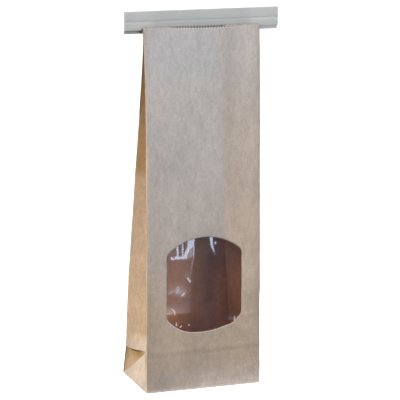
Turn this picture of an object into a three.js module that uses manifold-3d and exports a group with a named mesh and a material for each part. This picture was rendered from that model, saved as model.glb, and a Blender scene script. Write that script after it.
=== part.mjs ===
// A tall kraft paper bag with a folded block base and side gussets. Its mouth is pinched flat and has a wire tie
// glued across the back. A clear film closes the window in the front panel.
// Millimetres, +Z up. The origin is the middle of the base, the front faces -Y and the bag's width runs along X.
import * as THREE from "three";
import { mergeVertices } from "three/addons/utils/BufferGeometryUtils.js";
import Module from "manifold-3d";

// The bag
const bagWidth = 80;
const bagDepth = 52; // of the open base, which is also the flat width of one side gusset
const bagHeight = 241.5;
const wall = 0.4;
const mouthDepth = 2.2; // outside, from front to back
const pinchHeight = 236.5; // the panels run side by side from here up
const frontLean = 6.4; // how far back the front panel has come at the mouth
const frontLeanPower = 3.5; // it stays upright low down and leans mostly near the mouth
const closingPower = 1.35; // the side outline closes upwards a little faster than a straight wedge

// The folds of the block base
const creaseHeight = 20.5;
const creaseDepth = 46; // outside, from front to back at that crease
const peakRecess = 7; // how far in the side triangle leans at its peak
const lipHeight = 10; // above its peak the gusset folds in to its full depth over this height
const foldFlat = 0.4; // half the width of the gusset's rounded middle fold

// The window and its film
const windowWidth = 52.6;
const windowLow = 39.2;
const windowHigh = 103;
const windowArcRadius = 38.6; // of its arched top and bottom
const windowCornerRadius = 4;
const filmWidth = 65;
const filmMargin = 8; // above and below the window
const filmThickness = 0.3;

// The saw-cut edge of the mouth
const toothPitch = 2;
const toothHeight = 1;

// The wire tie and its backing strip
const tieLength = 104.8;
const tieShift = 0.9; // it is glued on slightly to the right
const tieTop = 251.8;
const tieHeight = 12.4;
const tieThickness = 0.9;
const ribCrown = 0.25; // each of its two wire ribs swells by this much
const grooveBelowTop = 5.9;
const grooveWidth = 0.8;
const backingLow = 237.2;
const backingInset = 0.3; // its top edge stays this much below the tie's
const backingThickness = 0.5;

const gap = 0.3; // between pieces that lie against each other
const kraft = 0xb59c82;

const wasm = await Module();
wasm.setup();

function material(color, roughness, metalness = 0) {
  return new THREE.MeshStandardMaterial({ color, roughness, metalness });
}

function toSolid(geometry) {
  const bare = geometry.clone();
  bare.deleteAttribute("normal");
  bare.deleteAttribute("uv");
  const merged = mergeVertices(bare, 1e-5);
  const triVerts = new Uint32Array(merged.index.array);
  const vertProperties = new Float32Array(merged.attributes.position.array);
  return new wasm.Manifold(new wasm.Mesh({ numProp: 3, vertProperties, triVerts }));
}

function toGeometry(solid) {
  const mesh = solid.getMesh();
  const geometry = new THREE.BufferGeometry();
  geometry.setAttribute("position", new THREE.BufferAttribute(mesh.vertProperties, 3));
  geometry.setIndex(new THREE.BufferAttribute(mesh.triVerts, 1));
  geometry.computeVertexNormals();
  return geometry;
}

// The bag's outline from the side: where the front panel is at a height, and how far behind it the back panel is
function frontY(z) {
  return -bagDepth / 2 + frontLean * (z / bagHeight) ** frontLeanPower;
}

function openDepth(z) {
  if (z <= creaseHeight) {
    return bagDepth + (creaseDepth - bagDepth) * (z / creaseHeight);
  }
  const share = Math.min(1, (z - creaseHeight) / (pinchHeight - creaseHeight));
  return Math.hypot(creaseDepth * (1 - share ** closingPower), mouthDepth);
}

// How far in the gusset's middle fold lies. Its two halves are half a base depth wide, so the more the panels
// close, the deeper it goes. Below the crease it is the leaning triangle that the base's folds leave.
function gussetRecess(z) {
  if (z <= creaseHeight) {
    return peakRecess * (z / creaseHeight);
  }
  const folded = Math.sqrt(bagDepth ** 2 - openDepth(z) ** 2) / 2;
  const share = Math.min(1, (z - creaseHeight) / lipHeight);
  return THREE.MathUtils.lerp(peakRecess, folded, share);
}

// Half the distance between the two fold lines of a gusset: the triangle's sides, and above them the middle fold
function foldSpread(z) {
  const half = openDepth(z) / 2;
  const narrow = Math.min(foldFlat, half / 10);
  const triangle = half * (1 - z / creaseHeight);
  return THREE.MathUtils.clamp(triangle, narrow, half - 2 * narrow);
}

// The eight corners of the bag's outline at a height, anticlockwise from above, starting at the front left
function outlineAt(z) {
  const x = bagWidth / 2;
  const front = frontY(z);
  const back = front + openDepth(z);
  const middle = (front + back) / 2;
  const recess = gussetRecess(z);
  const spread = foldSpread(z);
  const corners = [
    [-x, front],
    [x, front],
    [x - recess, middle - spread],
    [x - recess, middle + spread],
    [x, back],
    [-x, back],
    [-x + recess, middle + spread],
    [-x + recess, middle - spread],
  ];
  return corners.map((corner) => new THREE.Vector2(...corner));
}

// Each corner moves inwards to where the two sides beside it meet once both are moved in by the same distance
function insetOutline(outline, distance) {
  const count = outline.length;
  const normalOf = (from, to) => {
    const side = to.clone().sub(from).normalize();
    return new THREE.Vector2(-side.y, side.x);
  };
  return outline.map((corner, i) => {
    const before = outline[(i + count - 1) % count];
    const after = outline[(i + 1) % count];
    const sum = normalOf(before, corner).add(normalOf(corner, after));
    return corner.clone().addScaledVector(sum, (2 * distance) / sum.lengthSq());
  });
}

// How many parts each side of the outline has, in the order of its corners, so that twisted panels stay smooth
const sideParts = [4, 4, 1, 4, 4, 4, 1, 4];

function divideOutline(corners) {
  return corners.flatMap((corner, i) => {
    const next = corners[(i + 1) % corners.length];
    return Array.from({ length: sideParts[i] }, (_, k) => corner.clone().lerp(next, k / sideParts[i]));
  });
}

// The heights at which the bag's outline is taken: close together where it bends, and wide apart where it doesn't
function heights() {
  const lipTop = creaseHeight + lipHeight;
  const low = [0, wall, 2.5, creaseHeight, creaseHeight + lipHeight / 2, lipTop];
  const steps = 14;
  const rest = pinchHeight - lipTop;
  const climbing = Array.from({ length: steps }, (_, i) => lipTop + rest * ((i + 1) / steps));
  return [...low, ...climbing, bagHeight];
}

// The bag as a thin shell: rings of corners up the outside and up the inside, joined by the rim of the mouth
function bagShell() {
  const outerHeights = heights().filter((z) => z !== wall);
  const innerHeights = heights().filter((z) => z !== 0);
  const outer = outerHeights.map((z) => divideOutline(outlineAt(z)));
  const inner = innerHeights.map((z) => divideOutline(insetOutline(outlineAt(z), wall)));
  const count = outer[0].length;
  const positions = [];
  const faces = [];
  const addRing = (ring, z) => {
    ring.forEach((corner) => positions.push(corner.x, corner.y, z));
    return positions.length / 3 - count;
  };
  const outerStarts = outer.map((ring, i) => addRing(ring, outerHeights[i]));
  const innerStarts = inner.map((ring, i) => addRing(ring, innerHeights[i]));
  const addBand = (from, to) => {
    for (let i = 0; i < count; i += 1) {
      const next = (i + 1) % count;
      faces.push(from + i, from + next, to + next, from + i, to + next, to + i);
    }
  };
  for (let k = 1; k < outerStarts.length; k += 1) {
    addBand(outerStarts[k - 1], outerStarts[k]);
    addBand(innerStarts[k], innerStarts[k - 1]);
  }
  addBand(outerStarts.at(-1), innerStarts.at(-1));
  const addFloor = (start, z, facesUp) => {
    positions.push(0, 0, z);
    const centre = positions.length / 3 - 1;
    for (let i = 0; i < count; i += 1) {
      const next = (i + 1) % count;
      const [first, second] = facesUp ? [i, next] : [next, i];
      faces.push(centre, start + first, start + second);
    }
  };
  addFloor(outerStarts[0], outerHeights[0], false);
  addFloor(innerStarts[0], innerHeights[0], true);
  const geometry = new THREE.BufferGeometry();
  geometry.setAttribute("position", new THREE.Float32BufferAttribute(positions, 3));
  geometry.setIndex(faces);
  return geometry;
}

// A shape drawn in X and Z, as a block from one Y to another
function blockAlongY(shape, fromY, toY) {
  const geometry = new THREE.ExtrudeGeometry(shape, {
    depth: toY - fromY,
    bevelEnabled: false,
    curveSegments: 14,
  });
  const toXZ = new THREE.Matrix4().makeBasis(
    new THREE.Vector3(1, 0, 0),
    new THREE.Vector3(0, 0, 1),
    new THREE.Vector3(0, -1, 0),
  );
  return geometry.applyMatrix4(toXZ).translate(0, toY, 0);
}

// A shape drawn in Y and Z, as a strip along X
function stripAlongX(shape, length, middleX) {
  const geometry = new THREE.ExtrudeGeometry(shape, { depth: length, bevelEnabled: false });
  const toYZ = new THREE.Matrix4().makeBasis(
    new THREE.Vector3(0, 1, 0),
    new THREE.Vector3(0, 0, 1),
    new THREE.Vector3(1, 0, 0),
  );
  return geometry.applyMatrix4(toYZ).translate(middleX - length / 2, 0, 0);
}

// A barrel: upright sides, and a top and bottom arc that small corner arcs join to them
function windowShape() {
  const side = windowWidth / 2;
  const corner = windowCornerRadius;
  const topCentre = windowHigh - windowArcRadius;
  const lowCentre = windowLow + windowArcRadius;
  const rise = Math.sqrt((windowArcRadius - corner) ** 2 - (side - corner) ** 2);
  const turn = Math.atan2(rise, side - corner);
  const shape = new THREE.Shape();
  shape.absarc(side - corner, topCentre + rise, corner, 0, turn, false);
  shape.absarc(0, topCentre, windowArcRadius, turn, Math.PI - turn, false);
  shape.absarc(-side + corner, topCentre + rise, corner, Math.PI - turn, Math.PI, false);
  shape.absarc(-side + corner, lowCentre - rise, corner, Math.PI, Math.PI + turn, false);
  shape.absarc(0, lowCentre, windowArcRadius, Math.PI + turn, 2 * Math.PI - turn, false);
  shape.absarc(side - corner, lowCentre - rise, corner, 2 * Math.PI - turn, 2 * Math.PI, false);
  return shape;
}

// What the saw-tooth blade takes off the mouth: valleys between teeth of one pitch
function mouthCut() {
  const reach = bagWidth / 2 + toothPitch;
  const shape = new THREE.Shape();
  shape.moveTo(reach, bagHeight + toothHeight);
  shape.lineTo(-reach, bagHeight + toothHeight);
  for (let x = -reach; x <= reach; x += toothPitch) {
    shape.lineTo(x, bagHeight);
    if (x < reach) {
      shape.lineTo(x + toothPitch / 2, bagHeight - toothHeight);
    }
  }
  return shape;
}

function paperBag() {
  const nearFront = -bagDepth / 2 - 2;
  const behindFront = -bagDepth / 2 + 4;
  const behindMouth = frontY(bagHeight) + 2 * mouthDepth;
  const window = toSolid(blockAlongY(windowShape(), nearFront, behindFront));
  const sawCut = toSolid(blockAlongY(mouthCut(), nearFront, behindMouth));
  const solid = toSolid(bagShell()).subtract(window).subtract(sawCut);
  return new THREE.Mesh(toGeometry(solid), material(kraft, 0.85));
}

// The film follows the inside of the front panel
function windowFilm() {
  const low = windowLow - filmMargin;
  const high = windowHigh + filmMargin;
  const steps = 8;
  const rise = Array.from({ length: steps + 1 }, (_, i) => low + (high - low) * (i / steps));
  const near = rise.map((z) => new THREE.Vector2(frontY(z) + wall + gap, z));
  const far = rise.map((z) => new THREE.Vector2(frontY(z) + wall + gap + filmThickness, z)).reverse();
  const film = stripAlongX(new THREE.Shape([...near, ...far]), filmWidth, 0);
  const clear = material(0xdfe3ea, 0.08);
  clear.transparent = true;
  clear.opacity = 0.2;
  return new THREE.Mesh(film, clear);
}

function tieFrontY() {
  return frontY(bagHeight) + mouthDepth + gap + ribCrown;
}

// Two ribs, each over a wire, with a groove between them. The front face looks towards the bag.
function tieShape() {
  const front = tieFrontY();
  const back = front + tieThickness;
  const low = tieTop - tieHeight;
  const grooveTop = tieTop - grooveBelowTop + grooveWidth / 2;
  const grooveLow = grooveTop - grooveWidth;
  const shape = new THREE.Shape();
  shape.moveTo(back, low);
  shape.lineTo(back, tieTop);
  shape.lineTo(front, tieTop);
  shape.quadraticCurveTo(front - 2 * ribCrown, (tieTop + grooveTop) / 2, front, grooveTop);
  shape.lineTo(front + ribCrown, (grooveTop + grooveLow) / 2);
  shape.lineTo(front, grooveLow);
  shape.quadraticCurveTo(front - 2 * ribCrown, (grooveLow + low) / 2, front, low);
  return shape;
}

function tinTie() {
  return new THREE.Mesh(stripAlongX(tieShape(), tieLength, tieShift), material(0xb4b7b7, 0.45, 0.1));
}

function tieBacking() {
  const front = tieFrontY() + tieThickness + gap;
  const back = front + backingThickness;
  const top = tieTop - backingInset;
  const outline = [
    [front, backingLow],
    [back, backingLow],
    [back, top],
    [front, top],
  ];
  const shape = new THREE.Shape(outline.map((corner) => new THREE.Vector2(...corner)));
  return new THREE.Mesh(stripAlongX(shape, tieLength, tieShift), material(0x9a968d, 0.7));
}

const pieces = {
  paper_bag: paperBag(),
  window_film: windowFilm(),
  tin_tie: tinTie(),
  tin_tie_backing: tieBacking(),
};

const bag = new THREE.Group();
for (const [name, piece] of Object.entries(pieces)) {
  piece.name = name;
  bag.add(piece);
}

export default bag;
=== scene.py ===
import math

import bpy
import numpy as np
from mathutils import Matrix, Vector


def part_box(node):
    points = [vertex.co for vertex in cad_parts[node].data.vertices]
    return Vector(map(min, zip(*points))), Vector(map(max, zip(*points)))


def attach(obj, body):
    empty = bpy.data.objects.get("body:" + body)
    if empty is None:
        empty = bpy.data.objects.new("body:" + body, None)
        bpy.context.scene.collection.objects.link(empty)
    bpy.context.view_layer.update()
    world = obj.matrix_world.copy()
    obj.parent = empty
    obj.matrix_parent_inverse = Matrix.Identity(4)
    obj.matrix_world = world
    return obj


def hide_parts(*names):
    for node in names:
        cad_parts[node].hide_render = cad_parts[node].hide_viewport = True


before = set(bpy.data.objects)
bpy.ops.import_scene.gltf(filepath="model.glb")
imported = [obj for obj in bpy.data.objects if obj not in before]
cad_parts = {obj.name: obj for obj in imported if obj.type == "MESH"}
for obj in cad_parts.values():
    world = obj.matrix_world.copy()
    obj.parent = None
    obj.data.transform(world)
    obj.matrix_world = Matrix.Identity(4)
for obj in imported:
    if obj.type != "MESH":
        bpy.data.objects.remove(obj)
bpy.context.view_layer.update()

mm = 0.001  # shapes are worked out in millimetres, and meshes are in metres

# the camera, at the photo's angle
cameraView = {
    "location": (-0.43950, -1.24230, 0.40403),
    "yaw": -19.73,  # degrees round the bag, negative to its left
    "pitch": 12.05,
    "roll": 0.30,
    "lens": 182.5,
    "sensor": 36.0,
    "farthest": 60,
}


def makeCamera(view):
    # turned up or down, then round the upright axis, and rolled about its own line of sight
    data = bpy.data.cameras.new("camera")
    data.lens = view["lens"]
    data.sensor_width = view["sensor"]
    data.clip_end = view["farthest"]
    camera = bpy.data.objects.new("camera", data)
    turns = ((view["yaw"], "Z"), (90 - view["pitch"], "X"), (view["roll"], "Z"))
    yaw, pitch, roll = (Matrix.Rotation(math.radians(angle), 4, axis) for angle, axis in turns)
    camera.matrix_world = Matrix.Translation(view["location"]) @ yaw @ pitch @ roll
    bpy.context.scene.collection.objects.link(camera)
    bpy.context.scene.camera = camera


makeCamera(cameraView)
bpy.context.scene.view_settings.view_transform = "Standard"
print("camera placed")


# small tools for shapes
def ramp(value, start, end):  # 0 at the start and 1 at the end, level at both
    t = np.clip((value - start) / (end - start), 0, 1)
    return t * t * (3 - 2 * t)


def bump(distance, width):  # 1 at distance 0, dying away over the width: e to the minus square
    return np.exp(-((distance / width) ** 2))


def shareAt(value, shape):
    # a pair is a ramp from 0 at its first number to 1 at its second; near is a bump at a place, with a reach
    return ramp(value, *shape) if len(shape) == 2 else bump(value - shape[1], shape[2])


def sumOf(terms, across, up):
    # a term is an amount, times its share across and its share up where it has them
    total = 0
    for amount, *shapes in terms:
        for value, shape in zip((across, up), shapes):
            if shape:
                amount = amount * shareAt(value, shape)
        total = total + amount
    return total


def ripples(points, seed, length, count=10, spread=(0.7, 1.6)):
    # a sum of plane sine waves with seeded directions, phases and lengths near the given one, divided by the
    # root of their number
    draw = np.random.default_rng(seed)
    direction = draw.normal(size=(3, count))
    direction /= np.linalg.norm(direction, axis=0)
    reach = length * draw.uniform(*spread, count)
    phase = draw.uniform(0, 2 * np.pi, count)
    return np.sin(points @ direction * (2 * np.pi / reach) + phase).sum(-1) / math.sqrt(count)


def gridQuads(rows, columns, closed=False):
    # quads between neighbours of a grid whose points are numbered along each row
    number = np.arange(rows * columns).reshape(rows, columns)
    if closed:
        number = np.hstack([number, number[:, :1]])
    corners = (number[:-1, :-1], number[:-1, 1:], number[1:, 1:], number[1:, :-1])
    return np.stack(corners, -1)


def fanFaces(ring, middle):  # triangles from a ring's points to a middle point
    return np.stack([np.full(len(ring), middle), np.roll(ring, -1), ring], -1)


def makePiece(name, points, faces, material, values=None):
    # unused points are left out, and the rest go into one mesh, in metres
    used = np.unique(np.concatenate([np.asarray(f).ravel() for f in faces]))
    place = np.full(len(points), -1)
    place[used] = np.arange(len(used))
    polygons = [polygon for f in faces for polygon in place[np.asarray(f)].tolist()]
    mesh = bpy.data.meshes.new(name)
    mesh.from_pydata((points[used] * mm).tolist(), [], polygons)
    for key, value in (values or {}).items():
        attribute = mesh.attributes.new(key, "FLOAT", "POINT")
        attribute.data.foreach_set("value", value[used].astype(np.float32))
    mesh.polygons.foreach_set("use_smooth", np.ones(len(mesh.polygons), bool))
    mesh.materials.append(material)
    mesh.validate()
    mesh.update()
    piece = bpy.data.objects.new(name, mesh)
    bpy.context.scene.collection.objects.link(piece)
    return piece


def thicken(piece, thickness, inner=None):
    # the wall grows inwards, and its inner face may have a material of its own
    solidify = piece.modifiers.new("thickness", "SOLIDIFY")
    solidify.thickness = thickness * mm
    solidify.offset = -1
    solidify.use_quality_normals = True
    if inner:
        piece.data.materials.append(inner)
        solidify.material_offset = 1


# small tools for materials
def newMaterial(name):
    material = bpy.data.materials.new(name)
    material.use_nodes = True
    return material, material.node_tree.nodes


def addNode(nodes, kind, *inputs, **values):
    # inputs go in by their order and values by their names; an output is linked, and anything else is set
    node = nodes.new("ShaderNode" + kind)
    for key, value in (*enumerate(inputs), *values.items()):
        if isinstance(key, str) and key not in node.inputs:
            setattr(node, key, value)
        else:
            plug(node.inputs[key], value)
    return node


def plug(socket, value):
    if isinstance(value, bpy.types.NodeSocket):
        socket.id_data.links.new(value, socket)
    else:
        socket.default_value = value


def attributeOf(nodes, name):
    return addNode(nodes, "Attribute", attribute_name=name).outputs["Fac"]


def noiseOf(nodes, vector, look):
    return addNode(nodes, "TexNoise", Vector=vector, **look).outputs["Fac"]


def rampOf(nodes, value, span, result=(0.0, 1.0)):
    return addNode(nodes, "MapRange", value, *span, *result).outputs["Result"]


def mixOf(nodes, share, first, second, blend="MIX", clamped=True):
    node = addNode(nodes, "Mix", share, data_type="RGBA", blend_type=blend, clamp_factor=clamped)
    plug(node.inputs[6], first)  # A and B of its colours
    plug(node.inputs[7], second)
    return node.outputs[2]


def mathOf(nodes, operation, *numbers):
    return addNode(nodes, "Math", *numbers, operation=operation).outputs[0]


def mixShaders(nodes, *inputs):  # the share of the second, the first and the second
    return addNode(nodes, "MixShader", *inputs).outputs[0]


def stretchedPlace(nodes, place, stretch):
    return addNode(nodes, "Mapping", place, Scale=stretch).outputs[0]


def addRelief(nodes, shader, height, look):
    plug(shader.inputs["Normal"], addNode(nodes, "Bump", Height=height, **look).outputs["Normal"])


# kraft paper
kraft = {
    "plain": (0.65, 0.43, 0.23, 1),
    "glazed": (0.53, 0.475, 0.44, 1),  # the grey sheen of its smooth side, painted into the colour as painted sheen
    "fleck": (0.30, 0.20, 0.12, 1),
    "fleckShare": 0.3,
    "fleckSpan": (0.70, 0.80),  # of the grain's values
    "through": (0.60, 0.40, 0.27, 1),  # colour of light that comes through
    "throughShare": 0.13,
    "roughness": (0.42, 0.58),
    "stretch": (1, 1, 0.45),  # clouds and fibres are longer upwards
    "span": (0.3, 0.7),  # where most of a pattern's values lie
    "cloud": {"Scale": 1000 / 16.0, "Detail": 4, "Roughness": 0.55},  # scale: blots in a metre
    "fibre": {"Scale": 1000 / 2.4, "Detail": 3, "Roughness": 0.65, "Distortion": 0.6},
    "grain": {"Scale": 1000 / 0.8, "Detail": 2, "Roughness": 0.6},
    "depth": {"cloud": 0.10, "fibre": 0.12, "grain": 0.11},
    "fibreRelief": 0.6,
    "relief": {"Strength": 0.5, "Distance": 0.12 * mm},
}
# the inside is painted redder than the outside, standing in for the warmer light that bounces inside the bag
kraftInside = {**kraft, "plain": (0.66, 0.395, 0.21, 1)}


def kraftMaterial(name, look, glazeName, levelName):
    # the painted sheen attribute mixes the two colours and may go on past them; the level attribute, which
    # carries painted light and shade, multiplies them, and so do three noise patterns, each by its depth
    material, nodes = newMaterial(name)
    shader = nodes["Principled BSDF"]
    place = addNode(nodes, "TexCoord").outputs["Object"]
    stretched = stretchedPlace(nodes, place, look["stretch"])
    pattern, tone = {}, attributeOf(nodes, levelName)
    for key, vector in (("cloud", stretched), ("fibre", stretched), ("grain", place)):
        pattern[key] = noiseOf(nodes, vector, look[key])
        depth = look["depth"][key]
        share = rampOf(nodes, pattern[key], look["span"], (1 - depth, 1 + depth))
        tone = mathOf(nodes, "MULTIPLY", tone, share)
    grey = addNode(nodes, "CombineColor", tone, tone, tone).outputs[0]
    base = mixOf(nodes, attributeOf(nodes, glazeName), look["plain"], look["glazed"], clamped=False)
    base = mixOf(nodes, 1.0, base, grey, "MULTIPLY")
    fleckShare = rampOf(nodes, pattern["grain"], look["fleckSpan"], (0.0, look["fleckShare"]))
    plug(shader.inputs["Base Color"], mixOf(nodes, fleckShare, base, look["fleck"]))
    plug(shader.inputs["Roughness"], rampOf(nodes, pattern["cloud"], look["span"], look["roughness"]))
    relief = mathOf(nodes, "MULTIPLY", pattern["fibre"], look["fibreRelief"])
    addRelief(nodes, shader, mathOf(nodes, "ADD", relief, pattern["grain"]), look["relief"])
    behind = addNode(nodes, "BsdfTranslucent", Color=look["through"])
    both = mixShaders(nodes, look["throughShare"], shader.outputs[0], behind.outputs[0])
    plug(nodes["Material Output"].inputs["Surface"], both)
    return material


# the bag
bagLow, bagHigh = (np.array(corner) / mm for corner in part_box("paper_bag"))
bagWidth, bagDepth, bagHeight = bagHigh - bagLow

bag = {
    "paper": 0.17,  # millimetres, as every size here
    "mouthDepth": 2.2,
    "pinchHeight": 236.5,
    "frontLean": 6.4,
    "frontLeanPower": 3.5,
    "closingPower": 1.35,
    "creaseHeight": 20.5,
    "creaseDepth": 46.0,
    "peakRecess": 7.0,
    "lipHeight": 10.0,
    "foldFlat": 0.4,
    "twist": 1.3,  # the right edge stands this much further back at mid height
    "twistPower": 1.4,
    "foldRound": 0.35,
    "rollDepth": (0.9, 0.765, 0.63),  # of the front's upright edges: middle, top, base
    "rollWidth": (1.7, 3.4, 1.1),
    "rollTop": (185, 230),  # heights over which the middle's values turn into the others
    "rollBase": (40, 0),
    "backRoll": 0.5,  # the back's bend, as a share of the front's
    "baseRound": 0.3,
    "baseReach": 2.0,  # up to here the gussets stand up by the paper
    "overhang": 0.8,  # of the lip over the folded triangle
    "overhangReach": 6.0,
    "lipEdge": 0.5,  # half the height over which the lip turns under
    "lipDrop": 1.4,  # of its line near the bag's corners, and its rise at the gusset's fold
    "lipRise": 0.9,
    "lipReach": 7.0,
    "lipPower": 0.7,
    "pocket": 0.7,  # under the lip, beside the triangle
    "pocketPower": 1.5,
    "toothHeight": 1.0,
    "sag": (0.9, ("near", 6, 26), (228, 238)),  # of the front's upper edge, in its middle
    "waves": ((0.22, 3, 55.0), (0.07, 8, 17.0)),  # height, seed and length
    "calm": ((0, 14), (215, 235), 0.75),  # where the waves begin, and where this share of them ends
    "floor": 0.42,  # its height over the flaps, and its rings as shares of the base
    "floorRings": (0.01, 0.2, 0.45, 0.7, 0.88, 0.955, 0.985),
    "floorEdge": 0.6,  # the last ring's height, as a share of the rest
    "flaps": {"back": (1, 34.0, 0.22), "front": (-1, 36.0, 0.0)},  # side, depth and height
    "flapInset": 1.6,
    "flapSlant": 0.9,
    "flapTooth": 0.9,
    "flapRows": (0, 0.3, 0.6, 0.9, 1),
    "flapCells": 72,
    "frontCells": (13, 7, 44),  # beside the window, over its rounded corner, across it
    "sideCells": (16, 6),  # of a gusset's half, and of its fold
    "backCells": 80,
    "cornerCells": 4,
    "rowStep": 1.7,
    "baseCells": 4,
    "creaseBand": 1.0,  # this far above and below the crease the rows are close
    "creaseCells": 6,
    "mouthFrom": 230.0,
    "mouthCells": 8,
    "toothGap": 0.3,  # between the foot of the teeth and the last row below
    "evenFrom": (125, 225),  # heights between which the front's columns become even
}
window = {
    "halfWidth": 26.3,
    "cornerRadius": 4.0,
    "arcRadius": 38.6,
    "high": 103.0,
    "low": 39.2,
    "lowSkew": [(1.6, ("near", -17, 10)), (2.1, ("near", 22, 6))],  # bulges below a true arc
    "fadeAbove": (42.0, 2.0),  # reach and power by which the rows become straight
    "fadeBelow": (27.0, 1.35),
}
frontForms = {
    # what stands out of the front, in millimetres
    "puckers": [(0.32, (24, 32), ("near", 76, 24))],  # beside the window, as a sine of the height
    "puckerStart": 58,
    "puckerLength": 6.4,
    "creases": [
        # height in the middle, rise to the right, reach, and amount with its share across
        (24.5, 0.02, 0.9, (-0.16,)), (27.5, 0.02, 2.2, (0.10,)), (46.5, 0.05, 0.8, (0.18, (26, 30))),
    ],
    "mouth": [(0.7, ("near", 2, 14), (205, 241))],  # it bulges between the two gussets
    "rim": [(0.10, ("near", 29, 1.2), ("near", 71, 26))],  # on both sides of the window
}


def frontY(z):  # a plane that leans back by a power of the height
    share = np.clip(z / bagHeight, 0, None)
    return -bagDepth / 2 + bag["frontLean"] * share ** bag["frontLeanPower"]


def openDepth(z):
    # even steps up to the crease, then closing by a power of the height, never under the mouth's depth
    crease, pinch = bag["creaseHeight"], bag["pinchHeight"]
    low = bagDepth + (bag["creaseDepth"] - bagDepth) * z / crease
    share = np.clip((z - crease) / (pinch - crease), 0, 1)
    high = np.hypot(bag["creaseDepth"] * (1 - share ** bag["closingPower"]), bag["mouthDepth"])
    return np.where(z <= crease, low, high)


def gussetRecess(z):
    # half of the flat gusset is a hypotenuse, half of the open depth one side and the recess the other; it
    # gets there evenly over the lip, and below the crease it grows evenly
    crease = bag["creaseHeight"]
    folded = np.sqrt(np.maximum(bagDepth**2 - openDepth(z) ** 2, 0)) / 2
    share = np.clip((z - crease) / bag["lipHeight"], 0, 1)
    above = bag["peakRecess"] + (folded - bag["peakRecess"]) * share
    return np.where(z <= crease, bag["peakRecess"] * z / crease, above)


def foldSpread(z):
    # half the distance between a gusset's two folds: it shrinks evenly from half of the depth at the base to
    # a narrow flat at the crease
    half = openDepth(z) / 2
    narrow = np.minimum(bag["foldFlat"], half / 10)
    return np.clip(half * (1 - z / bag["creaseHeight"]), narrow, half - 2 * narrow)


def edgeRoll(z):
    # depth and width of the bent strip at the front's upright edges: the middle's value, and a ramp to the
    # top's and to the base's
    top, base = ramp(z, *bag["rollTop"]), ramp(z, *bag["rollBase"])
    values = (bag["rollDepth"], bag["rollWidth"])
    return [middle + (high - middle) * top + (low - middle) * base for middle, high, low in values]


def outlineCorners(z):
    # eight corners at each height, anticlockwise from the front left; the left side mirrors the right
    front = frontY(z)
    back = front + openDepth(z)
    middle = (front + back) / 2
    roll, spread = edgeRoll(z)[0], foldSpread(z)
    x = np.full_like(z, bagWidth / 2)
    folded = x - gussetRecess(z)
    y = (front + roll, middle - spread, middle + spread, back - roll * bag["backRoll"])
    right = np.stack([np.stack([x, folded, folded, x], -1), np.stack(y, -1)], -1)
    return np.roll(np.concatenate([right, right[..., ::-1, :] * (-1, 1)], -2), 1, -2)


def bagColumns():
    # for each column: the number of its side or corner, whether it is a corner, and the share of the way
    beside, rounded, across = bag["frontCells"]
    half, fold = bag["sideCells"]
    counts = [2 * (beside + rounded) + across, half, fold, half, bag["backCells"], half, fold, half]
    number, isCorner, along = [], [], []
    for side, cells in enumerate(counts):
        share = np.linspace(0, 1, cells + 1)
        turn = np.arange(1, bag["cornerCells"]) / bag["cornerCells"]
        number += [side] * len(share) + [(side + 1) % 8] * len(turn)
        isCorner += [0] * len(share) + [1] * len(turn)
        along += [*share, *turn]
    return np.array(number), np.array(isCorner, bool), np.array(along)


def frontColumns(heights):
    # x of the front's columns at each height: even beside and across the window, sine steps over its rounded
    # corners, and even all the way far above it
    beside, rounded, across = bag["frontCells"]
    side, corner, edge = window["halfWidth"], window["cornerRadius"], bagWidth / 2 - bag["foldRound"]
    turn = side - corner + corner * np.sin(np.linspace(0, np.pi / 2, rounded + 1))[1:]
    right = np.concatenate([turn, np.linspace(side, edge, beside + 1)[1:]])
    inner = np.linspace(corner - side, side - corner, across + 1)
    x = np.concatenate([-right[::-1], inner, right])
    even = np.linspace(-edge, edge, len(x))
    return x + (even - x) * ramp(heights, *bag["evenFrom"])[:, None]


def windowEdge(x, lower):
    # the window's top or bottom at each x: a wide arc and a small one that turns it into the upright side;
    # the bottom's bulges fade towards the sides as a circle does
    radius, corner = window["arcRadius"], window["cornerRadius"]
    inset = window["halfWidth"] - corner
    rise = math.sqrt((radius - corner) ** 2 - inset**2)
    join = radius * math.cos(math.atan2(rise, inset))
    away = np.clip(np.abs(x), 0, window["halfWidth"])
    wide = np.sqrt(radius**2 - np.minimum(away, join) ** 2)
    small = rise + np.sqrt(np.clip(corner**2 - (away - inset) ** 2, 0, None))
    height = np.where(away < join, wide, small)
    if not lower:
        return window["high"] - radius + height
    fade = np.sqrt(np.clip(1 - (away / window["halfWidth"]) ** 2, 0, 1))
    return window["low"] + radius - height - sumOf(window["lowSkew"], x, 0) * fade


def windowSides():  # heights between which the window's sides are straight
    side = np.array(window["halfWidth"])
    return float(windowEdge(side, True)), float(windowEdge(side, False))


def bagHeights():
    # rows of the grid, closest at the base's fold, the crease and the mouth, and the two where the window's
    # sides begin and end
    crease, band = bag["creaseHeight"], bag["creaseBand"]
    straightLow, straightHigh = windowSides()
    base = bag["baseRound"] * (1 - np.cos(np.linspace(0, np.pi / 2, bag["baseCells"] + 1)))
    stops = [base[-1], crease - band, crease + band, crease + bag["lipHeight"], straightLow, straightHigh]
    stops += [bag["mouthFrom"]]
    parts = [base]
    for low, high in zip(stops[:-1], stops[1:]):
        cells = bag["creaseCells"] if low < crease < high else math.ceil((high - low) / bag["rowStep"])
        parts.append(np.linspace(low, high, cells + 1)[1:])
    top = bagHeight - bag["toothHeight"] - bag["toothGap"]
    parts.append(np.linspace(bag["mouthFrom"], top, bag["mouthCells"] + 1)[1:])
    parts.append([bagHeight])
    heights = np.concatenate(parts)
    return heights, int(np.argmin(abs(heights - straightLow))), int(np.argmin(abs(heights - straightHigh)))


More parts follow.
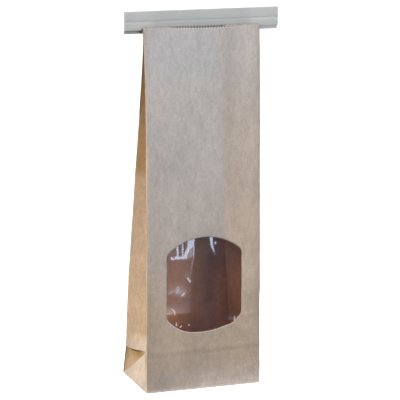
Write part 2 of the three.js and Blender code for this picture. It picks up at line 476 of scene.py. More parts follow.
def frontShift(heights, x):
    # how far the front's points move up or down: beside the window's ends the rows follow its arcs, less by
    # a power of the distance, and the mouth's edge sags in its middle
    straightLow, straightHigh = windowSides()
    rows = heights[:, None]
    (reachAbove, powerAbove), (reachBelow, powerBelow) = window["fadeAbove"], window["fadeBelow"]
    above = np.clip(1 - (rows - straightHigh) / reachAbove, 0, 1) ** powerAbove * (rows >= straightHigh)
    below = np.clip(1 - (straightLow - rows) / reachBelow, 0, 1) ** powerBelow * (rows <= straightLow)
    shift = (windowEdge(x, False) - straightHigh) * above + (windowEdge(x, True) - straightLow) * below
    inside = np.abs(x) <= window["halfWidth"] + 0.01
    return np.where(inside, shift, 0) - sumOf([bag["sag"]], x, rows)


def frontRelief(x, z):
    # what stands out of the front: puckers as a sine of the height, creases as bumps, and two broad forms
    forms = frontForms
    wave = np.sin((z - forms["puckerStart"]) / forms["puckerLength"])
    relief = wave * sumOf(forms["puckers"], x, z)
    relief += sumOf(forms["mouth"], x, z) + sumOf(forms["rim"], np.abs(x), z)
    for height, rise, reach, term in forms["creases"]:
        relief += sumOf([term], x, z) * bump(z - height - rise * x, reach)
    return relief


def lipRelief(along, z):
    # across a gusset's half, as a parabola: it swells just above the crease and sinks in under it
    crease, edge = bag["creaseHeight"], bag["lipEdge"]
    over = ramp(z, crease - edge, crease + edge)
    swell = bag["overhang"] * bump(np.clip(z - crease, 0, None), bag["overhangReach"]) * over
    sink = bag["pocket"] * (np.clip(z, 0, crease) / crease) ** bag["pocketPower"] * (1 - over)
    return 4 * along * (1 - along) * (swell - sink)


def lipLevel(number, isCorner, along):
    # the lip sags as a power of a sine between the bag's corner and the fold, and rises evenly to the fold
    side = number % 4
    atFold = (side == 2) | ((side == 3) & isCorner)
    atEdge = (side == 0) | ((side == 1) & isCorner)
    share = np.where(atFold, 1.0, np.where(side == 1, along, 1 - along))
    sag = np.sin(np.pi * np.clip(share, 0, 1)) ** bag["lipPower"] * (1 - share)
    return np.where(atEdge, 0.0, bag["lipRise"] * share - bag["lipDrop"] * sag)


def paperWaves(points):  # broad waves and small ripples
    return sum(height * ripples(points, seed, length) for height, seed, length in bag["waves"])


def twistAt(x, z):
    # a turn about the upright axis: the share of the way to the edge, times a sine of a power of the height
    share = np.clip(z / bagHeight, 0, 1) ** bag["twistPower"]
    return bag["twist"] * x / (bagWidth / 2) * np.sin(np.pi * share)


def ofSide(values, side):  # the value of the side that each column belongs to
    index = np.broadcast_to(side[None, :, None, None], values.shape[:2] + (1, 2))
    return np.take_along_axis(values, index, -2)[..., 0, :]


def foldedOutline(z, number, isCorner, along, frontX):
    # straight sides joined by a parabola over each fold, and a front and a back whose edges bend in by the
    # square of the way across the bent strip
    corners = outlineCorners(z)
    following = np.roll(corners, -1, -2)
    length = np.linalg.norm(following - corners, axis=-1)
    direction = (following - corners) / np.maximum(length, 1e-6)[..., None]
    cut = np.minimum(bag["foldRound"], 0.3 * np.minimum(length, np.roll(length, 1, -1)))
    start = corners + direction * cut[..., None]
    end = following - direction * np.roll(cut, -1, -1)[..., None]
    depth, width = edgeRoll(z)
    rolled = depth * np.clip(1 - bag["foldRound"] / width, 0, 1) ** 2
    bends = ((0, 1, frontY(z)), (4, -bag["backRoll"], frontY(z) + openDepth(z)))
    for side, sign, base in bends:
        start[..., side, 1] = end[..., side, 1] = base + sign * rolled

    t = along[:, None]
    straight = ofSide(start, number) + (ofSide(end, number) - ofSide(start, number)) * t
    first, middle, last = ofSide(end, (number - 1) % 8), ofSide(corners, number), ofSide(start, number)
    arc = first * (1 - t) ** 2 + 2 * middle * t * (1 - t) + last * t**2
    outline = np.where(isCorner[:, None], arc, straight)
    outline[:, (number == 0) & ~isCorner, 0] = frontX
    for side, sign, base in bends:
        here = (number == side) & ~isCorner
        across = (np.abs(outline[:, here, 0]) - (bagWidth / 2 - width[:, here])) / width[:, here]
        outline[:, here, 1] = base[:, here] + sign * depth[:, here] * np.clip(across, 0, 1) ** 2
    return outline


def outwardOf(outline):  # at right angles to the chord between each point's neighbours
    tangent = np.roll(outline, -1, 1) - np.roll(outline, 1, 1)
    tangent /= np.maximum(np.linalg.norm(tangent, axis=-1), 1e-6)[..., None]
    return np.stack([tangent[..., 1], -tangent[..., 0]], -1)


def bagGrid():
    # each point of the outline moves outwards by the relief, which near the floor follows a quarter round
    heights, windowRow, windowTop = bagHeights()
    number, isCorner, along = bagColumns()
    front = (number == 0) & ~isCorner
    x = frontColumns(heights)
    z = np.repeat(heights[:, None], len(number), 1)
    z[:, front] += frontShift(heights, x)
    z += bag["paper"] * bump(z, bag["baseReach"]) * (isCorner | (number % 2 == 1))
    z[-1] -= bag["toothHeight"] * np.where(isCorner, 1, np.cumsum(~isCorner) % 2)
    outline = foldedOutline(z, number, isCorner, along, x)
    points = np.concatenate([outline, z[..., None]], -1)

    begin, end, share = bag["calm"]
    relief = paperWaves(points) * ramp(z, *begin) * (1 - share * ramp(z, *end))
    relief += np.where(front, frontRelief(points[..., 0], z), 0.0)
    relief += np.where((number % 2 == 1) & ~isCorner, lipRelief(along, z), 0.0)
    radius = bag["baseRound"]
    relief -= radius - np.sqrt(np.clip(radius**2 - np.clip(radius - z, 0, None) ** 2, 0, None))
    points[..., 2] += lipLevel(number, isCorner, along) * bump(z - bag["creaseHeight"], bag["lipReach"])
    points[..., :2] += outwardOf(outline) * relief[..., None]
    points[..., 1] += twistAt(points[..., 0], z)
    panel = np.where(isCorner, (number - 0.5) % 8, number)
    return points, panel, front, windowRow, windowTop


def floorRings(ring):
    # the floor shrinks the base's ring towards the middle, and lies just above the flaps
    rings = ring * np.array(bag["floorRings"])[:, None, None]
    rings[..., 2] = bag["floor"]
    rings[-1, :, 2] *= bag["floorEdge"]
    return rings


def baseFlap(sign, depth, level):
    # a trapezoid under the floor: its sides slant in by a share of the depth, and its free edge is saw-cut
    across = np.linspace(-1, 1, bag["flapCells"] + 1)
    along = np.array(bag["flapRows"]) * depth
    half = bagWidth / 2 - bag["flapInset"] - np.minimum(along, bagDepth / 2) * bag["flapSlant"]
    x = half[:, None] * across
    y = sign * (bagDepth / 2 - bag["flapInset"] - along[:, None] + 0 * x)
    y[-1] += sign * bag["flapTooth"] * (np.arange(bag["flapCells"] + 1) % 2)
    return np.stack([x, y, np.full_like(x, level)], -1)


# the paper's painted light: the sheen value is the grey sheen painted on a place, and level is the light and
# shade painted on it. Panel 0 is the front, 1 to 3 are the right gusset, 4 is the back, 5 to 7 are the left
# gusset, and a corner has the mean of its two.
frontLook = {
    # across is x
    # painted grey sheen across the front, varying across and up
    "glaze": [
        (0.54, (16, 12)), (0.31, (16, 12), (52, 102)), (0.15, (16, 12), (100, 180)), (0.48, (12, 16)),
        (0.04, (12, 16), (50, 100)), (0.43, (12, 16), (120, 235)), (0.10, (12, 16), ("near", 140, 26)),
        (0.20, None, ("near", 9, 5)), (0.14, (22, 2), (195, 220)),
    ],
    # painted light and shade: lighter upwards, a glow at the very foot, a dark line along the cut top edge
    # and patches of uneven light
    "level": [
        (0.74,), (0.09, None, (30, 90)), (0.02, None, (90, 190)), (0.03, (12, 16), ("near", 92, 36)),
        (0.17, (-30, -10), ("near", 6, 8)), (-0.05, ("near", 17, 6), (110, 140)),
        (-0.03, (12, 16), (110, 140)), (-0.05, ("near", 16, 5), ("near", 185, 25)),
        (-0.065, (33, 37), ("near", 80, 75)), (0.05, ("near", -35, 6), ("near", 212, 16)),
        (0.035, ("near", -12, 10), ("near", 128, 34)), (0.04, ("near", 31, 4), (110, 130)),
        (-0.05, ("near", -34, 7), ("near", 62, 12)), (-0.30, None, ("near", bagHeight, 0.9)),
        (0.60, None, ("near", 0, 0.6)),
    ],
    "foldWidth": [(1.1,), (1.5, None, (190, 230))],  # of the left fold, whose rolled edge gets painted light
    # painted light and less sheen on the rolled left edge
    "fold": {
        "glaze": [(-0.28,)],
        "level": [(0.10,), (-0.07, None, (160, 130)), (-0.10, None, (60, 20)), (-0.24, None, (150, 210))],
    },
    "edges": {"glaze": (0.25, 0.3, 0.5), "level": (0.24, 0.03, 0.7)},  # painted sheen and painted light along the base and round the window: base, window and its reach
    # the painted light at the foot: its top, its lean and its fade
    "footTop": 5.4,
    "footLean": 0.05,
    "footFade": 3.5,
}
sideLook = {
    # across is the distance from the front's plane
    "brighter": (146, 143),  # the painted sheen and more painted light begin at a level crease
    "foot": (21.5, 19.5),  # the base's crease
    "fold": ("near", 0.4, 1.4),  # the fold at the front
    # painted grey sheen, and more of it along the front fold
    "glaze": [(0.33,), (0.12, None, ("near", 105, 25))],
    "foldGlaze": [(0.3,), (0.6, None, (146, 143))],
    # painted light and shade in steps and bands up the gusset and along its front fold
    "level": [
        (1.0,), (0.12, None, (146, 143)), (-0.18, None, (110, 30)), (-0.10, None, (21.5, 19.5)),
        (0.12, ("near", 0.4, 1.4)), (0.30, ("near", 0.4, 1.4), (36, 14)),
        (0.14, ("near", 3, 5), ("near", 108, 36)), (-0.18, ("near", 3, 5), ("near", 36, 6)),
        (-0.07, None, ("near", 150, 5)), (0.05, None, ("near", 138, 14)), (0.07, None, ("near", 101, 5)),
        (-0.07, None, ("near", 94, 9)), (0.07, None, ("near", 84, 4)), (0.07, None, ("near", 51, 6)),
    ],
    # painted sheen and painted light and shade of places at the base
    "bottomFold": (0.68, 0.18),
    "lip": (0.3, -0.06),
    "under": (0.24, 0.14),  # painted light and sheen on the paper under the lip, towards the back
    "apex": (-0.66, -0.56),  # the shade at the folded triangle's point
    # painted shade along the back edge under the lip
    "backEdge": (0.0, -0.50),
    "lipPlace": ("near", 23.5, 5),
    "apexShape": (0.4, 1.2, 8.5),  # how much a millimetre across and up counts, and the reach
    "backEdgePlace": ("near", -0.6, 2.2),
}
mouthLook = {
    # painted shade at the mouth, where the gap between the walls lies in shadow, with painted sheen
    "span": (236, 239),
    "outerGlaze": 0.4,  # more painted sheen than below
    "outerLevel": 0.62,
    "innerGlaze": 0.9,
    "innerLevel": 0.62,
    "innerShade": (-0.34, (-22, -18), (18, 14)),  # more painted shade between the gussets
}
restLook = {"glaze": 0.5, "level": 0.9}  # painted sheen and painted light of the back and the right gusset
insideLook = {
    # across is x; all of this is painted light and shade on the inner faces
    "level": [(1.2,), (-0.32, None, (55, 100))],  # painted shade that grows upwards, and multiplies the rest
    # painted light and shade on the inner back: darkest right of the middle and high up, where the front
    # above the window shades it
    "backLow": [(0.77,), (0.29, (8, 30)), (0.12, None, (33, 29)), (0.16, (2, -8))],
    "backHigh": [
        (0.82,), (-0.24, ("near", 10, 8)), (-0.19, ("near", 18.5, 4.5)), (0.34, (18, 27)),
        (-0.10, (10, 2), ("near", 50, 9)), (-0.02, (24, 16), (80, 89)), (-0.12, (10, 4), (80, 89)),
    ],
    "backLowSpan": (50, 38),
    "backGlaze": [(0.26, ("near", 17, 12))],
    # painted light on the right gusset's inner half, lighter outwards and upwards
    "gussetAcross": [(0.73,), (0.69, (21, 38))],
    "gussetUp": [(0.86,), (0.4, None, (48, 84))],
}


def frontTone(x, z):
    # painted sheen and painted light and shade: sums of terms, and the amounts along the left fold, along the
    # base and round the window
    look = frontLook
    fold = bump(x + bagWidth / 2, sumOf(look["foldWidth"], x, z))
    footEdge = look["footTop"] + look["footLean"] * x
    foot = ramp(z, footEdge, footEdge - look["footFade"])
    rim = np.minimum(windowEdge(x, False) - z, z - windowEdge(x, True))
    rim = np.minimum(rim, window["halfWidth"] - np.abs(x))
    tones = []
    for name in ("glaze", "level"):
        atFold, (atFoot, atRim, reach) = look["fold"][name], look["edges"][name]
        tone = sumOf(look[name], x, z) + sumOf(atFold, x, z) * fold
        tones.append(tone + atFoot * foot + atRim * bump(rim, reach))
    return tones


def sideTone(panel, depth, z):
    # the left gusset's painted sheen and painted light and shade: sums of terms, a fold with at least as much
    # painted sheen as its term says, and the places at the base
    look = sideLook
    below, foot = ramp(z, *look["brighter"]), ramp(z, *look["foot"])
    fold = shareAt(depth, look["fold"])
    bottomFold = np.where(np.isin(panel, (6, 6.5, 7.5)), foot, 0.0)
    glaze = sumOf(look["glaze"], depth, z) * below * (1 - foot) + look["bottomFold"][0] * bottomFold
    glaze = np.maximum(glaze, sumOf(look["foldGlaze"], depth, z) * fold)
    level = sumOf(look["level"], depth, z) + look["bottomFold"][1] * bottomFold
    across, up, reach = look["apexShape"]
    fromApex = np.hypot(across * (depth - openDepth(z) / 2), up * (z - bag["creaseHeight"]))
    under = np.where(panel == 5, foot, 0.0)
    places = {
        "lip": shareAt(z, look["lipPlace"]) * (1 - foot) * (1 - fold),
        "under": under,
        "apex": bump(fromApex, reach) * under,
        "backEdge": shareAt(depth - openDepth(z), look["backEdgePlace"]) * under,
    }
    for name, share in places.items():
        glaze += look[name][0] * share
        level += look[name][1] * share
    return glaze, level


def paperTone(points, panel):
    # the outside's painted sheen and painted light and shade: each panel has its own, and at the mouth all
    # but the front are painted dark over a ramp, as painted shade
    x, y, z = points.T
    mouth = ramp(z, *mouthLook["span"])
    isFront = np.isin(panel, (0, 0.5))
    isSide = (panel >= 4.5) & (panel <= 7.5)
    frontSheen, frontLevel = frontTone(x, z)
    sideSheen, sideLevel = sideTone(panel, y - frontY(z), z)
    glaze = np.where(isSide, sideSheen, restLook["glaze"]) + mouth * mouthLook["outerGlaze"]
    level = np.where(isSide, sideLevel, restLook["level"])
    level = level * (1 - mouth) + mouthLook["outerLevel"] * mouth
    return np.where(isFront, frontSheen, glaze), np.where(isFront, frontLevel, level)


def insideTone(points, panel):
    # the inside's painted sheen and painted light and shade: the back blends its lower and upper terms over a
    # ramp, the right gusset's front half is a product of two sums, and at the mouth all is painted grey and
    # dark over a ramp
    x, z = points[:, 0], points[:, 2]
    look = insideLook
    low = ramp(z, *look["backLowSpan"])
    back = sumOf(look["backLow"], x, z) * low + sumOf(look["backHigh"], x, z) * (1 - low)
    gusset = sumOf(look["gussetAcross"], x, z) * sumOf(look["gussetUp"], x, z)
    level = sumOf(look["level"], x, z) * np.where(panel == 4, back, np.where(panel == 1, gusset, 1.0))
    glaze = np.where(panel == 4, sumOf(look["backGlaze"], x, z), 0.0)
    mouth = ramp(z, *mouthLook["span"])
    amount, fromLeft, fromRight = mouthLook["innerShade"]
    shade = mouthLook["innerLevel"] + amount * shareAt(x, fromLeft) * shareAt(x, fromRight)
    return glaze * (1 - mouth) + mouthLook["innerGlaze"] * mouth, level * (1 - mouth) + shade * mouth


def makeBag(material, inside):
    # the wall's grid with its floor, a hole for the window, a fan at the floor's middle and the two flaps
    points, sideNumber, front, windowRow, windowTop = bagGrid()
    rings = floorRings(points[0])
    wall = np.concatenate([rings, points])
    added = len(rings)
    rows, columns = wall.shape[:2]
    quads = gridQuads(rows, columns, True)
    frontColumn = np.flatnonzero(front)
    beside = bag["frontCells"][0]
    isHole = np.zeros(quads.shape[:2], bool)
    isHole[added + windowRow:added + windowTop, frontColumn[beside]:frontColumn[-1 - beside]] = True
    faces = [quads[~isHole].reshape(-1, 4), fanFaces(np.arange(columns), rows * columns)]
    parts = [wall.reshape(-1, 3), np.array([[0.0, 0.0, wall[0, 0, 2]]])]
    panel = [np.where((np.arange(rows) >= added)[:, None], sideNumber, -1.0).ravel(), [-1.0]]
    total = rows * columns + 1
    for sign, depth, level in bag["flaps"].values():
        flap = baseFlap(sign, depth, level)
        flapQuads = gridQuads(*flap.shape[:2]).reshape(-1, 4) + total
        faces.append(flapQuads[:, ::-1] if sign < 0 else flapQuads)
        parts.append(flap.reshape(-1, 3))
        panel.append(np.full(len(parts[-1]), -1.0))
        total += len(parts[-1])
    allPoints = np.concatenate(parts)
    panel = np.concatenate(panel)
    # painted sheen and painted light and shade, for the outer and the inner faces
    tones = (*paperTone(allPoints, panel), *insideTone(allPoints, panel))
    values = dict(zip(("glaze", "level", "innerGlaze", "innerLevel"), tones))
    piece = makePiece("paperBag", allPoints, faces, material, values)
    thicken(piece, bag["paper"], inside)
    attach(piece, "root")
    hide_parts("paper_bag")


outside = kraftMaterial("kraftPaper", kraft, "glaze", "level")
makeBag(outside, kraftMaterial("kraftInside", kraftInside, "innerGlaze", "innerLevel"))
print("paper bag made")


# the window's film
film = {
    "halfWidth": 32.5,
    "margin": 8.0,
    "behind": 0.7,  # from the panel's outer face
    "thickness": 0.05,
    "cell": 0.36,
    "tint": (0.98, 0.925, 0.935, 1),
    "gloss": (0.54, 0.655, 0.85, 1),
    "headOn": 0.044,  # share reflected by one face seen head on
    "facingPower": 5.0,
    "roughness": (0.07, 0.33),  # outside and inside the strokes
    "strokeMirror": 0.056,  # further share in the strokes
    "strokeLean": 0.17,  # the mirror's upward slope there
    "strokeEdge": 0.45,  # half the width over which a stroke begins
    "milk": (0.80, 0.78, 0.82, 1),  # colour of its milky places, and of the painted reflection and highlights laid on with them
    "worn": (0.96, 0.78, 0.70, 1),  # and of its small painted glints
    "wornSpan": (0.27, 0.38),  # of the milk value, where the milk colour turns into the painted glints' colour
    "evenMilk": [(0.011, ("near", 4, 13))],  # painted reflection right of the upright crease
    "evenMilkTop": (0.8, (86, 94)),  # how much more at the top, as a share
    "veil": 0.028,  # painted reflection left of the upright crease and above the level fold
    "veilEdge": [(1.0,), (2.0, None, (88, 78))],  # the width over which that painted reflection begins
    "bandMilk": 0.065,  # more painted reflection just above the fold, most on the left
    "bandPlace": (1.0, 4.5),
    "bandAcross": (-7, -19),
    "creaseX": -7.0,  # the upright crease at its top, from where it runs down to the left
    "creaseTop": 91.0,
    "creaseLean": 0.07,
    "foldZ": 51.4,  # the level fold near the window's foot, in the middle
    "foldLean": -0.06,
    "foldEdge": 0.5,
    "mostMilk": 0.95,
}
strokes = [
    # mirroring strokes: from x and z to x and z, and half the width at both ends
    (-9.2, 102.6, -9.6, 97.6, 2.2, 1.8),
    (-9.8, 98, -13.2, 90.9, 1.2, 1.3),
    (-7.1, 102, -7, 90, 0.45, 0.3),
    (-12.6, 90.2, -19.6, 90.4, 0.9, 0.9),
    (-18.2, 91.4, -18.8, 98.2, 0.75, 0.6),
    (-14.9, 92, -14.9, 99.4, 0.6, 0.35),
    (-21.4, 89.5, -22.8, 90.5, 0.6, 0.5),
    (5, 102.8, 5.4, 97.6, 1, 0.7),
    (5.4, 97.6, 7.2, 92.6, 0.7, 0.2),
    (8, 98.8, 8.2, 98, 0.35, 0.35),
]
scuffsAndGlints = [
    # milky places and painted highlights that fade outwards: from x and z to x and z, the reach at both ends,
    # and how much milk and painted highlight
    (-9.4, 102, -9.8, 91, 2.4, 1.5, 0.16),
    (-8.3, 99, -8.4, 91.5, 1.1, 0.9, 0.14),
    (-25, 93.5, -20, 94.5, 1.6, 2.4, 0.05),
    (-22.8, 90.6, -12.6, 90, 1, 1.3, 0.2),
    (-7, 90, -8.2, 84.8, 0.35, 0.35, 0.16),
    (-8.2, 84.8, -8.8, 80, 0.35, 0.3, 0.09),
    (-11.1, 75.9, -9.6, 73.8, 0.5, 0.6, 0.56),
    (-12.3, 78.4, -10.4, 77.4, 1.8, 1.4, 0.05),
    (-18, 69.4, -18.4, 67.4, 1.4, 1.5, 0.25),
    (-18.3, 68.4, -14.8, 66.8, 2.6, 2.2, 0.15),
    (-15, 64.6, -13.5, 65.8, 0.6, 0.6, 0.48),
    (-22.8, 69.2, -14.4, 67.4, 3.6, 3.4, 0.06),
    (-24, 67, -22.6, 67.8, 1, 1, 0.14),
    (-22.8, 56.2, -21.2, 55.1, 0.4, 0.42, 0.42),
    (-21.2, 55.1, -20.2, 53.6, 0.42, 0.42, 0.48),
    (-20.2, 53.6, -20.2, 52.2, 0.42, 0.35, 0.45),
    (-27, 53.3, -22.2, 52.9, 0.6, 0.4, 0.34),
    (-25.4, 55, -23.8, 54.8, 0.45, 0.4, 0.16),
    (-23.8, 54.8, -23.2, 53.6, 0.4, 0.4, 0.18),
    (-19.1, 46.4, -19.1, 44.6, 0.32, 0.4, 0.52),
    (-16.4, 43.4, -15.7, 43.9, 0.42, 0.42, 0.52),
    (-10.5, 44.4, -10.3, 44.1, 0.45, 0.45, 0.38),
    (-22.6, 44.9, -22.3, 44.7, 0.5, 0.5, 0.16),
    (5, 102.6, 5.8, 96, 1.7, 1.1, 0.1),
    (5.8, 96, 7.6, 90.8, 1.1, 0.6, 0.08),
    (7.9, 98.8, 8.2, 98, 0.8, 0.8, 0.16),
    (21.7, 47.2, 22.1, 44.6, 0.35, 0.75, 0.42),
    (23.6, 45.4, 25.1, 47.4, 0.7, 0.55, 0.4),
    (18, 46.6, 21, 46, 1.3, 1.3, 0.05),
]


def awayFrom(x, z, x0, z0, x1, z1, atStart, atEnd):
    # the distance from a line's nearest point, and the value there of what changes evenly along the line
    along = ((x - x0) * (x1 - x0) + (z - z0) * (z1 - z0)) / ((x1 - x0) ** 2 + (z1 - z0) ** 2)
    along = np.clip(along, 0, 1)
    away = np.hypot(x - x0 - along * (x1 - x0), z - z0 - along * (z1 - z0))
    return away, atStart + (atEnd - atStart) * along


def strokeShare(x, z):  # 1 inside any stroke and 0 outside, by the distance from its line
    share = np.zeros_like(x)
    edge = film["strokeEdge"]
    for stroke in strokes:
        away, halfWidth = awayFrom(x, z, *stroke)
        share = np.maximum(share, ramp(away, halfWidth + edge, halfWidth - edge))
    return share


def filmMilkAndGlare(x, z):
    # milk with painted reflection and highlights: each scuff is a bump of the distance from its line; the
    # painted reflection ends at the upright crease and at the level fold, and just above the fold it thickens
    # by a bump of the height
    crease = film["creaseX"] - film["creaseLean"] * np.clip(film["creaseTop"] - z, 0, None)
    halfEdge = sumOf(film["veilEdge"], x, z) / 2
    left = ramp(x, crease + halfEdge, crease - halfEdge)
    fold = film["foldZ"] + film["foldLean"] * x
    above = ramp(z, fold, fold + film["foldEdge"])
    start, reach = film["bandPlace"]
    band = bump(np.clip(z - fold - start, 0, None), reach) * shareAt(x, film["bandAcross"])
    more, topShape = film["evenMilkTop"]
    even = sumOf(film["evenMilk"], x, z) * (1 + more * shareAt(z, topShape))
    milk = even + (film["veil"] * left + film["bandMilk"] * band) * above
    for *line, strength in scuffsAndGlints:
        away, reach = awayFrom(x, z, *line)
        milk = np.maximum(milk, milk + (strength - milk / 2) * bump(away, reach))
    return np.clip(milk, 0, film["mostMilk"])


def makeFilm(material):
    # a grid behind the window that follows the front panel's plane, waves and turn
    low, high = window["low"] - film["margin"], window["high"] + film["margin"]
    x = np.linspace(-film["halfWidth"], film["halfWidth"], round(2 * film["halfWidth"] / film["cell"]) + 1)
    z = np.linspace(low, high, round((high - low) / film["cell"]) + 1)
    x, z = np.meshgrid(x, z)
    face = np.stack([x, frontY(z), z], -1)
    y = face[..., 1] - paperWaves(face) + film["behind"] + twistAt(x, z)
    points = np.stack([x, y, z], -1).reshape(-1, 3)
    values = {"milk": filmMilkAndGlare(x, z).ravel(), "stroke": strokeShare(x, z).ravel()}
    piece = makePiece("windowFilm", points, [gridQuads(*x.shape).reshape(-1, 4)], material, values)
    thicken(piece, film["thickness"])
    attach(piece, "root")
    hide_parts("window_film")


def leaningNormal(nodes, amount):  # the normal plus an upward slope, made one unit long again
    tilt = addNode(nodes, "CombineXYZ", Z=amount).outputs[0]
    normal = addNode(nodes, "NewGeometry").outputs["Normal"]
    tilted = addNode(nodes, "VectorMath", normal, tilt, operation="ADD").outputs[0]
    return addNode(nodes, "VectorMath", tilted, operation="NORMALIZE").outputs[0]


def filmMaterial(look):
    # clear, with a mirror's share that rises by a power of the facing; in the strokes the mirror leans, is
    # rougher and reflects more, and the milk attribute mixes in a dull white that carries milky haze, painted
    # reflection and painted highlights
    material, nodes = newMaterial("clearFilm")
    nodes.remove(nodes["Principled BSDF"])
    clear = addNode(nodes, "BsdfTransparent", Color=look["tint"])
    stroke = attributeOf(nodes, "stroke")
    rough = rampOf(nodes, stroke, (0, 1), look["roughness"])
    normal = leaningNormal(nodes, mathOf(nodes, "MULTIPLY", stroke, look["strokeLean"]))
    gloss = addNode(nodes, "BsdfAnisotropic", Color=look["gloss"], Roughness=rough, Normal=normal)
    facing = addNode(nodes, "LayerWeight", Blend=0.5).outputs["Facing"]
    rise = mathOf(nodes, "POWER", facing, look["facingPower"])
    share = mathOf(nodes, "MULTIPLY_ADD", rise, 1 - look["headOn"], look["headOn"])
    share = mathOf(nodes, "ADD", share, mathOf(nodes, "MULTIPLY", stroke, look["strokeMirror"]))
    both = mixShaders(nodes, share, clear.outputs[0], gloss.outputs[0])
    milk = attributeOf(nodes, "milk")
    white = mixOf(nodes, rampOf(nodes, milk, look["wornSpan"]), look["milk"], look["worn"])
    dull = addNode(nodes, "BsdfDiffuse", Color=white)
    milkyAndGlaring = mixShaders(nodes, milk, both, dull.outputs[0])
    plug(nodes["Material Output"].inputs["Surface"], milkyAndGlaring)
    return material


makeFilm(filmMaterial(film))
print("window film made")


# the wire tie and its backing
tieLow, tieHigh = (np.array(corner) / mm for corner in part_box("tin_tie"))
backLow, backHigh = (np.array(corner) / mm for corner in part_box("tin_tie_backing"))
tie = {
    "colour": (0.47, 0.465, 0.445, 1),
    "darker": (0.40, 0.40, 0.385, 1),
    "toned": (0.355, 0.36, 0.35, 1),  # painted shade along its middle, mostly on the lower rib
    "tonedAcross": (36, 30),  # of the distance from a place just right of the middle
    "tonedMiddle": 1.0,
    "tonedUpper": 0.25,  # the upper rib's share
    "tonedEdge": 0.75,
    "roughness": (0.50, 0.62),
    "groove": 6.9,  # below the top edge
    "grooveWidth": 1.1,
    "grooveDepth": 0.12,
    "ribCrown": 0.11,
    "ribPower": 0.6,
    "edgeRound": 0.2,
    "cells": (150, 28),  # along it, and up its front
}
backing = {
    "colour": (0.35, 0.33, 0.28, 1),
    "darker": (0.28, 0.265, 0.225, 1),
    "toned": (0.56, 0.55, 0.53, 1),  # painted light towards its right end
    "tonedAcross": (0, 45),
    "roughness": (0.55, 0.7),
    "edgeRound": 0.15,
    "cells": (60, 12),
}
stripPattern = {
    "stretch": (0.12, 1, 1),  # streaks run along the strip
    "streak": {"Scale": 900, "Detail": 4, "Roughness": 0.6},
    "cloud": {"Scale": 60, "Detail": 3, "Roughness": 0.5},
    "span": (0.3, 0.7),
    "colourSpan": (0.35, 0.65),
    "relief": {"Strength": 0.4, "Distance": 0.04 * mm},
}


def stripMaterial(name, look):
    # streaks and clouds in equal parts mix the two colours, and the tone attribute mixes in the third, a
    # colour of painted light and shade
    material, nodes = newMaterial(name)
    shader = nodes["Principled BSDF"]
    place = addNode(nodes, "TexCoord").outputs["Object"]
    streak = noiseOf(nodes, stretchedPlace(nodes, place, stripPattern["stretch"]), stripPattern["streak"])
    cloud = noiseOf(nodes, place, stripPattern["cloud"])
    halves = [mathOf(nodes, "MULTIPLY", pattern, 0.5) for pattern in (streak, cloud)]
    share = rampOf(nodes, mathOf(nodes, "ADD", *halves), stripPattern["colourSpan"])
    colour = mixOf(nodes, share, look["darker"], look["colour"])
    plug(shader.inputs["Base Color"], mixOf(nodes, attributeOf(nodes, "tone"), colour, look["toned"]))
    plug(shader.inputs["Roughness"], rampOf(nodes, streak, stripPattern["span"], look["roughness"]))
    addRelief(nodes, shader, streak, stripPattern["relief"])
    return material


def quarterRound(y, z, radius, angles):
    return np.stack([y + radius * np.cos(angles), z + radius * np.sin(angles)], -1)


def roundedStrip(low, high, radius, frontFace, cells):
    # a closed profile in Y and Z carried along X: a flat back, a front that follows frontFace of the height,
    # and quarter rounds for its long edges; at its ends it shrinks in three steps
    alongCells, frontCells = cells
    turn = np.linspace(0, np.pi / 2, 4)
    top, bottom, back = high[2] - radius, low[2] + radius, high[1] - radius
    rise = np.linspace(bottom, top, frontCells + 1)
    front = np.stack([low[1] + frontFace(rise), rise], -1)
    profile = np.concatenate([
        front,
        quarterRound(front[-1, 0] + radius, top, radius, np.pi - turn[1:]),
        quarterRound(back, top, radius, np.pi / 2 - turn),
        quarterRound(back, bottom, radius, -turn),
        quarterRound(front[0, 0] + radius, bottom, radius, -np.pi / 2 - turn[:-1]),
    ])
    steps = np.array([0, 0.3, 1]) * radius
    even = np.linspace(low[0], high[0], alongCells + 1)[1:-1]
    x = np.concatenate([low[0] + steps, even, high[0] - steps[::-1]])
    inset = np.concatenate([[radius, 0.3 * radius, 0], 0 * even, [0, 0.3 * radius, radius]])
    middle = profile.mean(0)
    shrink = 1 - inset[:, None] / np.abs(profile - middle).max(0)
    rings = middle + (profile - middle) * shrink[:, None, :]
    return np.concatenate([np.broadcast_to(x[:, None, None], rings.shape[:2] + (1,)), rings], -1)


def makeStrip(name, points, tone, material, node):
    # rings of points closed by a fan at both ends; tone, the painted light and shade, is a function of the
    # place
    rows, columns = points.shape[:2]
    total = rows * columns
    ring = np.arange(columns)
    last = fanFaces(ring + total - columns, total + 1)[:, [0, 2, 1]]
    faces = [gridQuads(rows, columns, True).reshape(-1, 4), fanFaces(ring, total), last]
    allPoints = np.concatenate([points.reshape(-1, 3), [points[0].mean(0), points[-1].mean(0)]])
    piece = makePiece(name, allPoints, faces, material, {"tone": tone(*allPoints.T)})
    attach(piece, "root")
    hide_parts(node)


def tieFace(z):
    # two ribs that swell as a power of half a sine over their wires, and a rounded groove between them
    groove = tieHigh[2] - tie["groove"]
    upper = np.clip((z - groove) / (tieHigh[2] - groove), 0, 1)
    lower = np.clip((groove - z) / (groove - tieLow[2]), 0, 1)
    swell = np.sin(np.pi * np.maximum(upper, lower)) ** tie["ribPower"]
    return tie["ribCrown"] * (1 - swell) + tie["grooveDepth"] * bump(z - groove, tie["grooveWidth"] / 2)


def tieShading(x, y, z):  # the painted shade: a ramp of the distance from the middle, times a ramp down over the groove
    groove, edge = tieHigh[2] - tie["groove"], tie["tonedEdge"]
    lower = tie["tonedUpper"] + (1 - tie["tonedUpper"]) * ramp(z, groove + edge, groove - edge)
    return shareAt(np.abs(x - tie["tonedMiddle"]), tie["tonedAcross"]) * lower


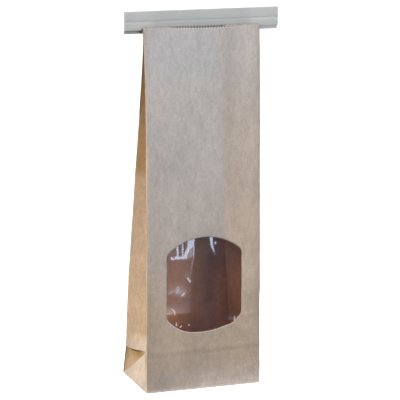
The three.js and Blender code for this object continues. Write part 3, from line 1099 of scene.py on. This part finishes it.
# painted light that grows towards the backing's right end
def backingShading(x, y, z):
    return shareAt(x, backing["tonedAcross"])


tiePoints = roundedStrip(tieLow, tieHigh, tie["edgeRound"], tieFace, tie["cells"])
makeStrip("tinTie", tiePoints, tieShading, stripMaterial("tieStrip", tie), "tin_tie")
backPoints = roundedStrip(backLow, backHigh, backing["edgeRound"], np.zeros_like, backing["cells"])
backingPaint = stripMaterial("tieBacking", backing)
makeStrip("tieBacking", backPoints, backingShading, backingPaint, "tin_tie_backing")
print("tie made")


# the floor and the light
studio = {
    "floorPaint": {
        "Base Color": (0.72, 0.74, 0.77, 1),
        "Roughness": 0.9,
        "Specular IOR Level": 0.1,
        "Emission Color": (0.80, 0.82, 0.85, 1),
        "Emission Strength": 1.0,
    },
    "floorReach": 12.0,  # metres each way
    "floorPoints": 25,
    "floorDrop": 0.05,  # millimetres below the bag
    "skyHigh": (0.52, 0.54, 0.57, 1),
    "skyLow": (0.50, 0.52, 0.56, 1),
    "skySpan": (0.0, 0.8),  # of the direction's rise
    "below": (0.21, 0.21, 0.22, 1),
    "horizon": (-0.04, 0.02),
    "skyStrength": 0.94,
    "lampAim": (0, 0, 0.12),
}
lamps = {
    # azimuth (0 in front, left negative), distance, height, the lamp's width and height, radiance, colour
    "frontBox": (21, 0.9, 0.20, 0.38, 0.36, 7.2, (0.88, 0.94, 1.0)),
    "frontFill": (38, 1.3, 1.2, 0.7, 0.7, 7.0, (0.98, 0.98, 1.0)),
    "leftBox": (-88, 0.95, 0.98, 0.55, 0.55, 24.0, (1.0, 0.95, 0.86)),
    "topBox": (0, 0.1, 1.6, 1.0, 1.0, 1.5, (0.95, 0.98, 1.0)),
}


def makeFloor(look):
    # the floor is only a backdrop and lights nothing
    line = np.linspace(-look["floorReach"], look["floorReach"], look["floorPoints"]) / mm
    x, y = np.meshgrid(line, line)
    points = np.stack([x, y, np.full_like(x, -look["floorDrop"])], -1).reshape(-1, 3)
    material, nodes = newMaterial("floorPaint")
    for key, value in look["floorPaint"].items():
        plug(nodes["Principled BSDF"].inputs[key], value)
    floor = makePiece("floor", points, [gridQuads(*x.shape).reshape(-1, 4)], material)
    floor.visible_glossy = floor.visible_diffuse = floor.visible_transmission = False


def makeSky(look):
    # a ramp of two colours above the horizon and one colour below it
    world = bpy.data.worlds.new("sky")
    bpy.context.scene.world = world
    world.use_nodes = True
    nodes = world.node_tree.nodes
    direction = addNode(nodes, "TexCoord").outputs["Generated"]
    rise = addNode(nodes, "SeparateXYZ", direction).outputs["Z"]
    sky = mixOf(nodes, rampOf(nodes, rise, look["skySpan"]), look["skyLow"], look["skyHigh"])
    colour = mixOf(nodes, rampOf(nodes, rise, look["horizon"]), look["below"], sky)
    plug(nodes["Background"].inputs["Color"], colour)
    plug(nodes["Background"].inputs["Strength"], look["skyStrength"])


def makeLamp(name, azimuth, distance, rise, width, height, radiance, colour):
    # a flat rectangle that faces the middle of the bag
    angle = math.radians(azimuth)
    place = Vector((math.sin(angle) * distance, -math.cos(angle) * distance, rise))
    data = bpy.data.lights.new(name, "AREA")
    data.shape = "RECTANGLE"
    data.size, data.size_y = width, height
    data.energy = radiance * math.pi * width * height
    data.color = colour
    lamp = bpy.data.objects.new(name, data)
    lamp.location = place
    lamp.rotation_mode = "QUATERNION"
    lamp.rotation_quaternion = (Vector(studio["lampAim"]) - place).to_track_quat("-Z", "Y")
    lamp.visible_camera = False
    bpy.context.scene.collection.objects.link(lamp)


makeFloor(studio)
makeSky(studio)
for name, values in lamps.items():
    makeLamp(name, *values)
print("floor and lights made")
